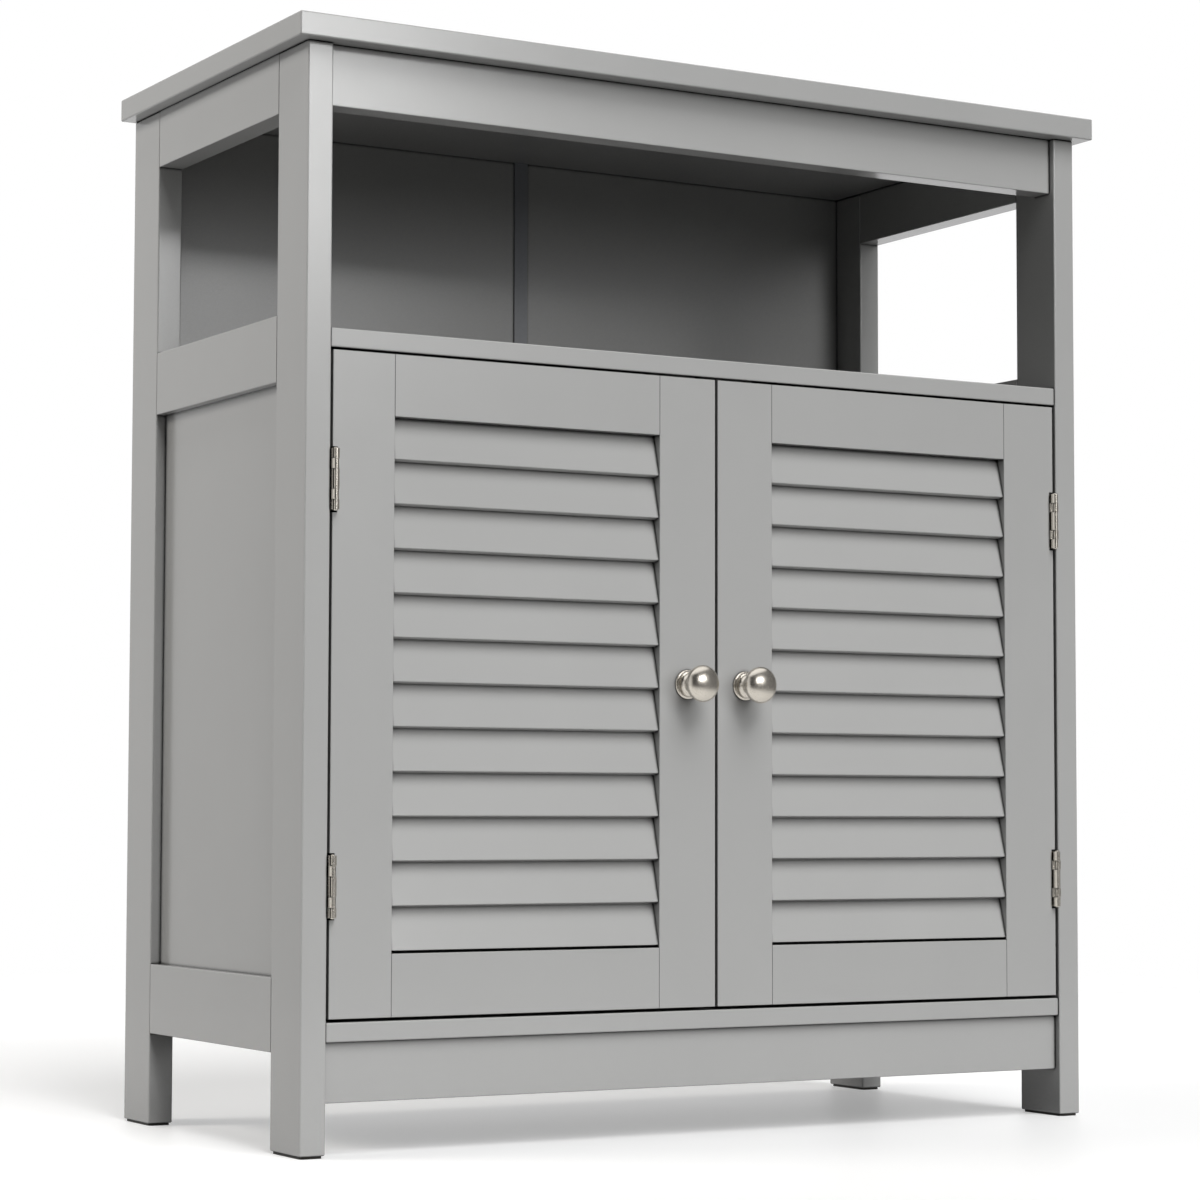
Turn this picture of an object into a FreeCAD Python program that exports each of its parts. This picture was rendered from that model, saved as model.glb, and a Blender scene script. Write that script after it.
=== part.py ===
import FreeCAD, Part

import math
import os

Vector = FreeCAD.Vector
X_AXIS = Vector(1, 0, 0)
Y_AXIS = Vector(0, 1, 0)
Z_AXIS = Vector(0, 0, 1)

# Louvred door cabinet, in millimetres. +Z is up, the doors face -Y and +X is to the right of
# someone who stands in front. The origin is the middle of the whole cabinet's footprint, on the
# floor.

# ---------------------------------------------------------------- driving dimensions

# Top board
overall_width = 615.0
overall_height = 700.0
top_depth = 295.0
top_thickness = 15.0
top_side_overhang = 10.0
top_front_overhang = 10.0
top_back_overhang = 2.0

# Legs, and the pads stuck under them
leg_width = 17.0  # left to right, and the thickness of the side rails
leg_depth = 44.0
pad_thickness = 1.5
pad_inset = 1.0
pad_corner_radius = 3.0

# Side frames: three rails tenoned between two legs, and a thin panel in grooves
side_top_rail_height = 38.5
side_middle_rail_height = 42.0
side_middle_rail_drop = 18.5  # lower edge below the middle shelf's underside
side_bottom_rail_height = 46.0
side_bottom_rail_drop = 8.0  # lower edge below the bottom shelf's underside
side_panel_thickness = 3.0
tenon_length = 10.0
tenon_thickness = 6.0
tenon_shoulder = 6.0

# Cross rails: apron under the top, skirt under the bottom shelf
cross_rail_thickness = 17.0
cross_rail_setback = 5.0  # behind the legs' front face
apron_height = 38.5
skirt_height = 37.0
skirt_floor_gap = 32.5

# Shelves
shelf_thickness = 12.0
shelf_setback = 1.0  # behind the legs' front face
bottom_shelf_back_inset = 2.0  # in front of the legs' back face
inner_shelf_side_gap = 1.5
inner_shelf_door_gap = 10.0
inner_shelf_back_gap = 2.0

# Back: two thin panels joined by an H-shaped strip, in grooves of the top board, the rear legs
# and the bottom shelf
back_panel_thickness = 3.0
back_panel_inset = 9.0  # from the legs' back face to the panel
strip_width = 10.6
strip_flange_thickness = 1.0
strip_web_thickness = 1.0
groove_depth = 5.0

# Doors
door_height = 410.5
door_thickness = 17.0
door_setback = 1.0  # behind the legs' front face
door_top_gap = 1.5
door_bottom_gap = 2.0
hinge_gap = 2.0  # between a door and its leg
meeting_gap = 2.0  # between the two doors
stile_width = 42.5
door_rail_height = 39.0
door_tenon_thickness = 5.0

# Louvre blades, fixed in slanted slots
louvre_count = 12
louvre_blade_width = 30.0
louvre_thickness = 5.0
louvre_tilt = 14.5
louvre_setback = 1.2  # lower front edge behind the door's face
louvre_bottom_gap = 0.4
louvre_end_depth = 6.0
louvre_edge_radius = 0.6

# Butt hinges
hinge_length = 38.0
hinge_inset = 61.5  # from the door's top or bottom edge to the hinge's end
hinge_stand_off = 2.8  # pin's axis in front of the door's face
barrel_diameter = 5.2
leaf_thickness = 1.2
leaf_width = 14.0  # from the pin's axis
leaf_corner_radius = 2.0
hinge_pin_diameter = 2.6
hinge_pin_end = 0.6  # the pin's rounded end, past the barrel
knuckle_shares = (1, 1, 2, 1, 1)  # the frame leaf has the first, third and last
knuckle_gap = 0.15
mortise_end_gap = 1.4
leaf_screw_spacing = 24.0
leaf_screw_edge = 5.5  # from the leaf's free edge

# Wood screws, all alike
wood_screw_length = 12.0
wood_screw_head_diameter = 5.2
wood_screw_head_height = 1.2
wood_screw_diameter = 2.5
wood_screw_tip_length = 3.0
wood_screw_tip_diameter = 0.6

# The cross recess in every screw head, and in the cams
recess_span = 3.2
recess_width = 0.7
recess_depth = 0.5

# Knobs and their screws
knob_head_diameter = 24.0
knob_projection = 24.5
knob_dome_height = 5.9
knob_head_back_height = 4.4
knob_flange_diameter = 19.0
knob_flange_thickness = 1.2
knob_flange_chamfer = 0.4
knob_step_diameter = 16.4
knob_step_height = 2.4
knob_neck_diameter = 9.2
knob_height_offset = 4.0  # above the door's mid height
knob_screw_diameter = 4.0
knob_screw_reach = 9.0  # into the knob
knob_screw_head_diameter = 8.4
knob_screw_head_height = 2.2
knob_screw_head_rounding = 1.3

# Magnetic catches under the middle shelf, and the strike plates that they hold
catch_body_width = 22.0
catch_body_depth = 13.0
catch_body_height = 12.0
catch_ear_length = 7.5
catch_ear_thickness = 3.0
catch_ear_depth = 9.0
catch_gap = 0.3
magnet_width = 17.0
magnet_height = 7.0
magnet_depth = 9.0
magnet_proud = 0.6
strike_width = 30.0
strike_height = 10.0
strike_thickness = 1.0

# Shelf pins, 5 mm system holes in three rows
pin_diameter = 5.0
pin_depth = 8.0
pin_reach = 8.0
pin_collar_diameter = 7.0
pin_collar_thickness = 1.2
pin_row_spacing = 64.0
pin_row_count = 3
pin_leg_inset = 11.0  # from the leg's face that meets the side panel

# Cam fittings and dowels that hold the flat boards together
cam_diameter = 12.0
cam_depth = 9.5
cam_distance = 24.0  # from the board's end to the cam's middle
cam_axis_depth = 6.0  # bolt's axis below the face that the cam is let into
bolt_thread_diameter = 5.0
bolt_thread_length = 10.0
bolt_shank_diameter = 4.0
bolt_head_diameter = 5.6
bolt_head_length = 3.0
dowel_diameter = 6.0
dowel_length = 25.0
dowel_anchor_depth = 10.0
shelf_bolt_inset = 35.0  # from the leg to the shelf's bolt
shelf_dowel_inset = 67.0
rail_bolt_drop = 7.0  # below the cross rail's mid height
rail_dowel_rise = 9.0
apron_bolt_position = 150.0  # from the middle of the cabinet

# Eased edges and fits
edge_radius = 1.0
rail_edge_radius = 0.6
door_edge_radius = 0.5
fit_clearance = 0.1  # round tenons, panels and blades
blind_gap = 0.5  # at the bottom of mortises, grooves and blind holes
round_clearance = 0.05  # round pins, dowels, bolts and screws
overshoot = 1.0  # of a cutter past an open face

# ---------------------------------------------------------------- places worked out from them

frame_width = overall_width - 2 * top_side_overhang
frame_depth = top_depth - top_front_overhang - top_back_overhang
front_reach = max(knob_projection - door_setback, top_front_overhang)
front_y = (front_reach - frame_depth - top_back_overhang) / 2
back_y = front_y + frame_depth
outer_x = frame_width / 2
inner_x = outer_x - leg_width
leg_top = overall_height - top_thickness

front_leg_back = front_y + leg_depth
rear_leg_front = back_y - leg_depth

back_panel_back = back_y - back_panel_inset
back_panel_front = back_panel_back - back_panel_thickness
strip_front = back_panel_front - fit_clearance - strip_flange_thickness
strip_back = back_panel_back + fit_clearance + strip_flange_thickness

cross_front = front_y + cross_rail_setback
cross_back = cross_front + cross_rail_thickness
skirt_top = skirt_floor_gap + skirt_height

shelf_front = front_y + shelf_setback
shelf_back = strip_front - fit_clearance
bottom_shelf_back = back_y - bottom_shelf_back_inset
bottom_shelf_top = skirt_top + shelf_thickness
door_bottom = bottom_shelf_top + door_bottom_gap
door_top = door_bottom + door_height
middle_shelf_bottom = door_top + door_top_gap
middle_shelf_top = middle_shelf_bottom + shelf_thickness

side_middle_rail_bottom = middle_shelf_bottom - side_middle_rail_drop
side_bottom_rail_bottom = skirt_top - side_bottom_rail_drop
side_bottom_rail_top = side_bottom_rail_bottom + side_bottom_rail_height
side_top_rail_bottom = leg_top - side_top_rail_height
apron_bottom = leg_top - apron_height
panel_inner_x = (inner_x + outer_x - side_panel_thickness) / 2

door_front = front_y + door_setback
door_back = door_front + door_thickness
door_inner_x = meeting_gap / 2
door_outer_x = inner_x - hinge_gap
meeting_stile_x = door_inner_x + stile_width
hinge_stile_x = door_outer_x - stile_width
door_rail_bottom_top = door_bottom + door_rail_height
door_rail_top_bottom = door_top - door_rail_height
louvre_opening = door_rail_top_bottom - door_rail_bottom_top
louvre_pitch = (louvre_opening - louvre_bottom_gap) / louvre_count
meeting_stile_middle = door_inner_x + stile_width / 2

barrel_radius = barrel_diameter / 2
hinge_x = inner_x - barrel_radius
hinge_y = door_front - hinge_stand_off
mortise_floor_x = inner_x - barrel_diameter
hinge_heights = (
    door_bottom + hinge_inset + hinge_length / 2,
    door_top - hinge_inset - hinge_length / 2,
)

knob_height = door_bottom + door_height / 2 + knob_height_offset
strike_bottom = door_top - door_edge_radius - strike_height
strike_middle = strike_bottom + strike_height / 2
magnet_front = door_back + strike_thickness + catch_gap
catch_front = magnet_front + magnet_proud
catch_bottom = middle_shelf_bottom - catch_body_height
pin_row_middle = (bottom_shelf_top + middle_shelf_bottom) / 2
inner_shelf_bottom = pin_row_middle + pin_diameter / 2
pin_ys = (front_leg_back - pin_leg_inset, rear_leg_front + pin_leg_inset)


# ---------------------------------------------------------------- helpers

def block(x_range, y_range, z_range, ease=0.0):
    """A box between two limits on each axis, with all its edges rounded by ease."""
    (x0, x1), (y0, y1), (z0, z1) = x_range, y_range, z_range
    box = Part.makeBox(x1 - x0, y1 - y0, z1 - z0, Vector(x0, y0, z0))
    if ease:
        box = box.makeFillet(ease, box.Edges)
    return box


def rod(diameter, start, direction, length):
    return Part.makeCylinder(diameter / 2, length, start, direction)


def edges_along(shape, direction):
    """The straight edges of a shape that run along a direction."""
    chosen = []
    for edge in shape.Edges:
        if isinstance(edge.Curve, Part.Line) and abs(edge.tangentAt(0).dot(direction)) > 0.999:
            chosen.append(edge)
    return chosen


def round_edges(shape):
    return [edge for edge in shape.Edges if isinstance(edge.Curve, Part.Circle)]


def turned(profile, start, direction):
    """A solid of revolution: profile is a wire of (radius, height) in the XZ plane."""
    solid = Part.Face(profile).revolve(Vector(0, 0, 0), Z_AXIS, 360)
    solid.Placement = FreeCAD.Placement(start, FreeCAD.Rotation(Z_AXIS, direction))
    return solid


def line(a, b):
    return Part.LineSegment(Vector(a[0], 0, a[1]), Vector(b[0], 0, b[1])).toShape()


def arc(a, middle, b):
    points = [Vector(p[0], 0, p[1]) for p in (a, middle, b)]
    return Part.Arc(*points).toShape()


def mirrored(shape):
    return shape.mirror(Vector(0, 0, 0), X_AXIS)


def widened(limits, gap):
    return (limits[0] - gap, limits[1] + gap)


# ---------------------------------------------------------------- fasteners

def wood_screw(head_point, direction, gap=0.0):
    """Countersunk wood screw. With a gap it is the hole that the screw is driven into."""
    shank = wood_screw_diameter / 2 + gap
    head = wood_screw_head_diameter / 2 + gap
    tip_start = wood_screw_length - wood_screw_tip_length
    tip_end = wood_screw_length + gap
    points = [
        (0, 0),
        (head, 0),
        (shank, wood_screw_head_height),
        (shank, tip_start),
        (wood_screw_tip_diameter / 2, tip_end),
        (0, tip_end),
        (0, 0),
    ]
    edges = [line(a, b) for a, b in zip(points, points[1:])]
    screw = turned(Part.Wire(edges), head_point, direction)
    if gap:
        return screw
    return screw.cut(cross_recess(head_point, direction))


def cross_recess(point, direction):
    """The cross in a screw head, sunk from a point along a direction."""
    arms = []
    for size_x, size_y in ((recess_span, recess_width), (recess_width, recess_span)):
        corner = Vector(-size_x / 2, -size_y / 2, 0)
        arms.append(Part.makeBox(size_x, size_y, recess_depth, corner))
    cross = arms[0].fuse(arms[1])
    cross.Placement = FreeCAD.Placement(point, FreeCAD.Rotation(Z_AXIS, direction))
    return cross


def cam_joint(point, along, out):
    """A cam fitting. The bolt's axis leaves the anchor board at point, into the held board.

    Along points into the held board, out points from the bolt's axis to the face that the cam
    is let into. Returns the bolt, the cam, the cut in the held board and that in the anchor.
    """
    middle = point + along * cam_distance
    bolt = rod(bolt_thread_diameter, point, -along, bolt_thread_length)
    bolt = bolt.fuse(rod(bolt_shank_diameter, point, along, cam_distance))
    head_start = middle - along * (bolt_head_length / 2)
    bolt = bolt.fuse(rod(bolt_head_diameter, head_start, along, bolt_head_length)).removeSplitter()

    face = middle + out * cam_axis_depth
    throat_diameter = bolt_head_diameter + 2 * fit_clearance
    throat_end = middle + along * (bolt_head_length / 2 + fit_clearance)
    throat = rod(throat_diameter, throat_end, -along, cam_diameter)
    cam = rod(cam_diameter - 2 * round_clearance, face, -out, cam_depth).cut(throat)
    cam = cam.cut(cross_recess(face, -out))

    held_cut = rod(cam_diameter, face, -out, cam_depth)
    hole_length = cam_distance + bolt_head_length / 2 + fit_clearance
    held_cut = held_cut.fuse(rod(throat_diameter, point, along, hole_length))
    thread_hole = bolt_thread_diameter + 2 * round_clearance
    anchor_cut = rod(thread_hole, point, -along, bolt_thread_length + blind_gap)
    return bolt, cam, held_cut, anchor_cut


def dowel_joint(point, along):
    """A dowel, glued into the anchor board and the held board, and the holes in the two."""
    dowel = rod(dowel_diameter, point - along * dowel_anchor_depth, along, dowel_length)
    hole = dowel_diameter + 2 * round_clearance
    held_depth = dowel_length - dowel_anchor_depth + blind_gap
    held_cut = rod(hole, point, along, held_depth)
    anchor_cut = rod(hole, point, -along, dowel_anchor_depth + blind_gap)
    return dowel, held_cut, anchor_cut


# ---------------------------------------------------------------- side frames, right-hand side

RAILS = {
    "side_top_rail": (side_top_rail_bottom, side_top_rail_height),
    "side_middle_rail": (side_middle_rail_bottom, side_middle_rail_height),
    "side_bottom_rail": (side_bottom_rail_bottom, side_bottom_rail_height),
}


def tenon_block(rail_bottom, rail_height, gap):
    """The bar that passes through a side rail and stands out at both ends as its tenons."""
    middle_x = (inner_x + outer_x) / 2
    reach = tenon_length + (blind_gap if gap else 0)
    x_range = (middle_x - tenon_thickness / 2, middle_x + tenon_thickness / 2)
    y_range = (front_leg_back - reach, rear_leg_front + reach)
    z_range = (rail_bottom + tenon_shoulder, rail_bottom + rail_height - tenon_shoulder)
    return block(widened(x_range, gap), y_range, widened(z_range, gap))


def side_panel(gap=0.0):
    """The thin panel. With a gap it is the groove round it."""
    reach = groove_depth if gap else groove_depth - blind_gap
    x_range = (panel_inner_x, panel_inner_x + side_panel_thickness)
    y_range = (front_leg_back - reach, rear_leg_front + reach)
    z_range = (side_bottom_rail_top - reach, side_middle_rail_bottom + reach)
    return block(widened(x_range, gap), y_range, z_range)


def leg(y_range):
    """A leg of the right-hand side, with its mortises and groove."""
    post = block((inner_x, outer_x), y_range, (pad_thickness, leg_top), edge_radius)
    for rail_bottom, rail_height in RAILS.values():
        post = post.cut(tenon_block(rail_bottom, rail_height, fit_clearance))
    return post.cut(side_panel(fit_clearance))


def side_rail(rail_bottom, rail_height):
    rail = block(
        (inner_x, outer_x),
        (front_leg_back, rear_leg_front),
        (rail_bottom, rail_bottom + rail_height),
        rail_edge_radius,
    )
    return rail.fuse(tenon_block(rail_bottom, rail_height, 0.0)).cut(side_panel(fit_clearance))


def foot_pad(y_range):
    pad = block(
        widened((inner_x, outer_x), -pad_inset), widened(y_range, -pad_inset), (0, pad_thickness)
    )
    return pad.makeFillet(pad_corner_radius, edges_along(pad, Z_AXIS))


# ---------------------------------------------------------------- back

def back_panel(gap=0.0):
    """The right-hand half of the back. With a gap it is the groove for both halves."""
    reach = groove_depth if gap else groove_depth - blind_gap
    start_x = -inner_x - reach if gap else strip_web_thickness / 2 + fit_clearance
    return block(
        (start_x, inner_x + reach),
        widened((back_panel_front, back_panel_back), gap),
        (bottom_shelf_top - reach, leg_top + reach),
    )


def joining_strip():
    """H-shaped strip: two flanges and the web between the two halves of the back."""
    z_range = (bottom_shelf_top, leg_top)
    half = strip_width / 2
    front = block((-half, half), (strip_front, strip_front + strip_flange_thickness), z_range)
    back = block((-half, half), (strip_back - strip_flange_thickness, strip_back), z_range)
    web_half = strip_web_thickness / 2
    web = block((-web_half, web_half), (strip_front, strip_back), z_range)
    return front.fuse([back, web]).removeSplitter()


# ---------------------------------------------------------------- right-hand door

def louvre(index, gap=0.0):
    """One louvre blade, lowest first. With a gap it is the slot that holds its ends."""
    slot_end = blind_gap if gap else 0.0
    reach = louvre_end_depth + slot_end
    length = hinge_stile_x - meeting_stile_x + 2 * reach
    blade = Part.makeBox(
        length,
        louvre_thickness + 2 * gap,
        louvre_blade_width + 2 * gap,
        Vector(0, -gap, -gap),
    )
    blade = blade.makeFillet(louvre_edge_radius + gap, edges_along(blade, X_AXIS))
    blade.rotate(Vector(0, 0, 0), X_AXIS, -louvre_tilt)
    lowest = louvre_thickness * math.sin(math.radians(louvre_tilt))
    bottom = door_rail_bottom_top + louvre_bottom_gap + index * louvre_pitch
    blade.translate(
        Vector(meeting_stile_x - reach, door_front + louvre_setback, bottom + lowest)
    )
    return blade


def door_tenons(z_range, gap):
    """The bar that passes through a door rail and stands out at both ends as its tenons."""
    reach = tenon_length + (blind_gap if gap else 0)
    middle_y = (door_front + door_back) / 2
    y_range = (middle_y - door_tenon_thickness / 2, middle_y + door_tenon_thickness / 2)
    return block(
        (meeting_stile_x - reach, hinge_stile_x + reach),
        widened(y_range, gap),
        widened(z_range, gap - tenon_shoulder),
    )


LOWER_RAIL = (door_bottom, door_rail_bottom_top)
UPPER_RAIL = (door_rail_top_bottom, door_top)


def door_rail(z_range):
    rail = block(
        (meeting_stile_x, hinge_stile_x), (door_front, door_back), z_range, door_edge_radius
    )
    rail = rail.fuse(door_tenons(z_range, 0.0))
    return rail.cut(louvre(louvre_count - 1, fit_clearance))


def stile(x_range):
    """A stile with the mortises for the rails and the slots for the louvre blades."""
    post = block(x_range, (door_front, door_back), (door_bottom, door_top), door_edge_radius)
    cuts = [door_tenons(LOWER_RAIL, fit_clearance), door_tenons(UPPER_RAIL, fit_clearance)]
    cuts += [louvre(index, fit_clearance) for index in range(louvre_count)]
    return post.cut(cuts)


# ---------------------------------------------------------------- right-hand hinges

def knuckle_spans(height):
    """The span of each knuckle in height, from the bottom up, and whether the frame has it."""
    bottom = height - hinge_length / 2
    share = hinge_length / sum(knuckle_shares)
    spans = []
    for index, shares in enumerate(knuckle_shares):
        top = bottom + shares * share
        spans.append((bottom, top, index % 2 == 0))
        bottom = top
    return spans


def hinge_leaf(height, on_frame):
    """One leaf with its knuckles, on the leg or in the door's mortise."""
    plate_x = inner_x - leaf_thickness if on_frame else mortise_floor_x
    z_range = (height - hinge_length / 2, height + hinge_length / 2)
    plate = block(
        (plate_x, plate_x + leaf_thickness), (hinge_y, hinge_y + leaf_width), z_range
    )
    far_edges = []
    for edge in edges_along(plate, X_AXIS):
        if edge.CenterOfMass.y > hinge_y + leaf_width / 2:
            far_edges.append(edge)
    leaf = plate.makeFillet(leaf_corner_radius, far_edges)
    relief_back = hinge_y + barrel_radius + 2 * knuckle_gap
    for low, high, frame_has_it in knuckle_spans(height):
        if frame_has_it == on_frame:
            low_gap = 0 if low == z_range[0] else knuckle_gap / 2
            high_gap = 0 if abs(high - z_range[1]) < knuckle_gap else knuckle_gap / 2
            start = Vector(hinge_x, hinge_y, low + low_gap)
            leaf = leaf.fuse(rod(barrel_diameter, start, Z_AXIS, high - low - low_gap - high_gap))
        else:
            relief = block(
                widened((plate_x, plate_x + leaf_thickness), overshoot),
                (hinge_y - overshoot, relief_back),
                widened((low, high), knuckle_gap / 2),
            )
            leaf = leaf.cut(relief)
    bore_start = Vector(hinge_x, hinge_y, z_range[0] - overshoot)
    bore_diameter = hinge_pin_diameter + 2 * round_clearance
    bore = rod(bore_diameter, bore_start, Z_AXIS, hinge_length + 2 * overshoot)
    return leaf.cut(bore).removeSplitter()


def hinge_pin(height):
    start = Vector(hinge_x, hinge_y, height - hinge_length / 2 - hinge_pin_end)
    pin = rod(hinge_pin_diameter, start, Z_AXIS, hinge_length + 2 * hinge_pin_end)
    return pin.makeFillet(hinge_pin_end, round_edges(pin))


def hinge_mortise(height):
    """The pocket in the door's edge that both leaves fold into."""
    half = hinge_length / 2 + mortise_end_gap
    return block(
        (mortise_floor_x, door_outer_x + overshoot),
        (door_front - overshoot, hinge_y + leaf_width + fit_clearance),
        (height - half, height + half),
    )


def leaf_screw_points(height, on_frame):
    """Where the two screws of a leaf start, and which way they are driven."""
    face_x = inner_x - leaf_thickness if on_frame else mortise_floor_x + leaf_thickness
    direction = X_AXIS if on_frame else -X_AXIS
    y = hinge_y + leaf_width - leaf_screw_edge
    points = []
    for side in (-1, 1):
        points.append(Vector(face_x, y, height + side * leaf_screw_spacing / 2))
    return points, direction


# ---------------------------------------------------------------- knob, catch and shelf pins

def knob():
    """Mushroom knob turned about an axis that runs out of the door."""
    head = knob_head_diameter / 2
    flange = knob_flange_diameter / 2
    step = knob_step_diameter / 2
    neck = knob_neck_diameter / 2
    bore = knob_screw_diameter / 2 + round_clearance
    bore_end = knob_screw_reach + blind_gap
    widest = knob_projection - knob_dome_height
    neck_top = widest - knob_head_back_height
    neck_bottom = knob_step_height + step - neck
    chamfer_bottom = knob_flange_thickness - knob_flange_chamfer
    chamfer_top = flange - knob_flange_chamfer
    part_way = math.sqrt(0.5)
    cove = (step - (step - neck) * part_way, neck_bottom - (step - neck) * part_way)
    shoulder = (head - (head - neck) * (1 - part_way), widest - knob_head_back_height * part_way)
    middle = Vector(0, 0, widest)
    front = Vector(0, 0, knob_projection)
    dome = Part.ArcOfEllipse(Part.Ellipse(Vector(head, 0, widest), front, middle), 0, math.pi / 2)
    edges = [
        line((bore, 0), (flange, 0)),
        line((flange, 0), (flange, chamfer_bottom)),
        line((flange, chamfer_bottom), (chamfer_top, knob_flange_thickness)),
        line((chamfer_top, knob_flange_thickness), (step, knob_flange_thickness)),
        line((step, knob_flange_thickness), (step, knob_step_height)),
        arc((step, knob_step_height), cove, (neck, neck_bottom)),
        line((neck, neck_bottom), (neck, neck_top)),
        arc((neck, neck_top), shoulder, (head, widest)),
        dome.toBSpline().toShape(),
        line((0, knob_projection), (0, bore_end)),
        line((0, bore_end), (bore, bore_end)),
        line((bore, bore_end), (bore, 0)),
    ]
    start = Vector(meeting_stile_middle, door_front, knob_height)
    return turned(Part.Wire(edges), start, -Y_AXIS)


def knob_screw(gap=0.0):
    """Machine screw from the door's back into the knob. With a gap it is its hole."""
    start = Vector(meeting_stile_middle, door_back, knob_height)
    length = door_thickness + knob_screw_reach
    shank = rod(knob_screw_diameter + 2 * gap, start, -Y_AXIS, length)
    if gap:
        return shank
    head = rod(knob_screw_head_diameter, start, Y_AXIS, knob_screw_head_height)
    top = start + Y_AXIS * knob_screw_head_height
    crown = [edge for edge in round_edges(head) if edge.CenterOfMass.y > start.y]
    head = head.makeFillet(knob_screw_head_rounding, crown)
    return head.fuse(shank).cut(cross_recess(top, -Y_AXIS)).removeSplitter()


def strike_plate():
    half = strike_width / 2
    plate = block(
        (meeting_stile_middle - half, meeting_stile_middle + half),
        (door_back, door_back + strike_thickness),
        (strike_bottom, strike_bottom + strike_height),
    )
    return plate.makeFillet(leaf_corner_radius, edges_along(plate, Y_AXIS))


def catch_magnet(gap=0.0):
    """The magnet with its pole faces, which stands out of the catch towards the door."""
    half = magnet_width / 2
    z_range = (strike_middle - magnet_height / 2, strike_middle + magnet_height / 2)
    return block(
        widened((meeting_stile_middle - half, meeting_stile_middle + half), gap),
        (magnet_front - gap, magnet_front + magnet_depth + gap),
        widened(z_range, gap),
    )


def catch_body():
    half = catch_body_width / 2
    body = block(
        (meeting_stile_middle - half, meeting_stile_middle + half),
        (catch_front, catch_front + catch_body_depth),
        (catch_bottom, middle_shelf_bottom),
    )
    body = body.makeFillet(edge_radius, edges_along(body, Y_AXIS) + edges_along(body, Z_AXIS))
    reach = half + catch_ear_length
    middle_y = catch_front + catch_body_depth / 2
    ears = block(
        (meeting_stile_middle - reach, meeting_stile_middle + reach),
        (middle_y - catch_ear_depth / 2, middle_y + catch_ear_depth / 2),
        (middle_shelf_bottom - catch_ear_thickness, middle_shelf_bottom),
    )
    return body.fuse(ears).cut(catch_magnet(fit_clearance)).removeSplitter()


def catch_screw_points():
    reach = catch_body_width / 2 + catch_ear_length / 2
    y = catch_front + catch_body_depth / 2
    z = middle_shelf_bottom - catch_ear_thickness
    return [Vector(meeting_stile_middle + side * reach, y, z) for side in (-1, 1)]


def shelf_pin(y, z):
    """A pin in its hole in a right-hand leg, with a collar against the leg."""
    pin = rod(pin_diameter, Vector(inner_x + pin_depth, y, z), -X_AXIS, pin_depth + pin_reach)
    collar = rod(pin_collar_diameter, Vector(inner_x, y, z), -X_AXIS, pin_collar_thickness)
    return pin.fuse(collar).removeSplitter()


def pin_holes(y):
    holes = []
    hole_diameter = pin_diameter + 2 * round_clearance
    for row in range(pin_row_count):
        z = pin_row_middle + (row - (pin_row_count - 1) / 2) * pin_row_spacing
        start = Vector(inner_x - overshoot, y, z)
        holes.append(rod(hole_diameter, start, X_AXIS, overshoot + pin_depth + blind_gap))
    return holes


# ---------------------------------------------------------------- the whole cabinet
#
# pieces maps a node's name to its solid, and groups to its list of alike solids. Side pieces and
# groups are made on the right-hand side only, and both_sides mirrors them at the end.

def add_side_frame(pieces):
    front_leg = leg((front_y, front_leg_back))
    rear_leg = leg((rear_leg_front, back_y))
    pieces["leg_front_right"] = front_leg.cut(pin_holes(pin_ys[0]))
    pieces["leg_rear_right"] = rear_leg.cut(pin_holes(pin_ys[1])).cut(back_panel(fit_clearance))
    for name, (rail_bottom, rail_height) in RAILS.items():
        pieces[name + "_right"] = side_rail(rail_bottom, rail_height)
    pieces["side_panel_right"] = side_panel()


def add_cross_boards(pieces):
    full_x = (-inner_x, inner_x)
    apron_z = (apron_bottom, leg_top)
    skirt_z = (skirt_floor_gap, skirt_top)
    cross_y = (cross_front, cross_back)
    bottom_y = (shelf_front, bottom_shelf_back)
    middle_y = (shelf_front, shelf_back)
    bottom_z = (skirt_top, bottom_shelf_top)
    middle_z = (middle_shelf_bottom, middle_shelf_top)
    groove = back_panel(fit_clearance)
    top_x = (-overall_width / 2, overall_width / 2)
    top_y = (front_y - top_front_overhang, back_y + top_back_overhang)
    top_z = (leg_top, overall_height)
    inner_shelf_x = inner_x - inner_shelf_side_gap
    inner_shelf_y = (door_back + inner_shelf_door_gap, shelf_back - inner_shelf_back_gap)
    inner_shelf_z = (inner_shelf_bottom, inner_shelf_bottom + shelf_thickness)

    pieces["top_board"] = block(top_x, top_y, top_z, edge_radius).cut(groove)
    pieces["front_apron"] = block(full_x, cross_y, apron_z, rail_edge_radius)
    pieces["front_skirt"] = block(full_x, cross_y, skirt_z, rail_edge_radius)
    pieces["bottom_shelf"] = block(full_x, bottom_y, bottom_z, edge_radius).cut(groove)
    pieces["middle_shelf"] = block(full_x, middle_y, middle_z, edge_radius)
    pieces["inner_shelf"] = block(
        (-inner_shelf_x, inner_shelf_x), inner_shelf_y, inner_shelf_z, edge_radius
    )


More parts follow.
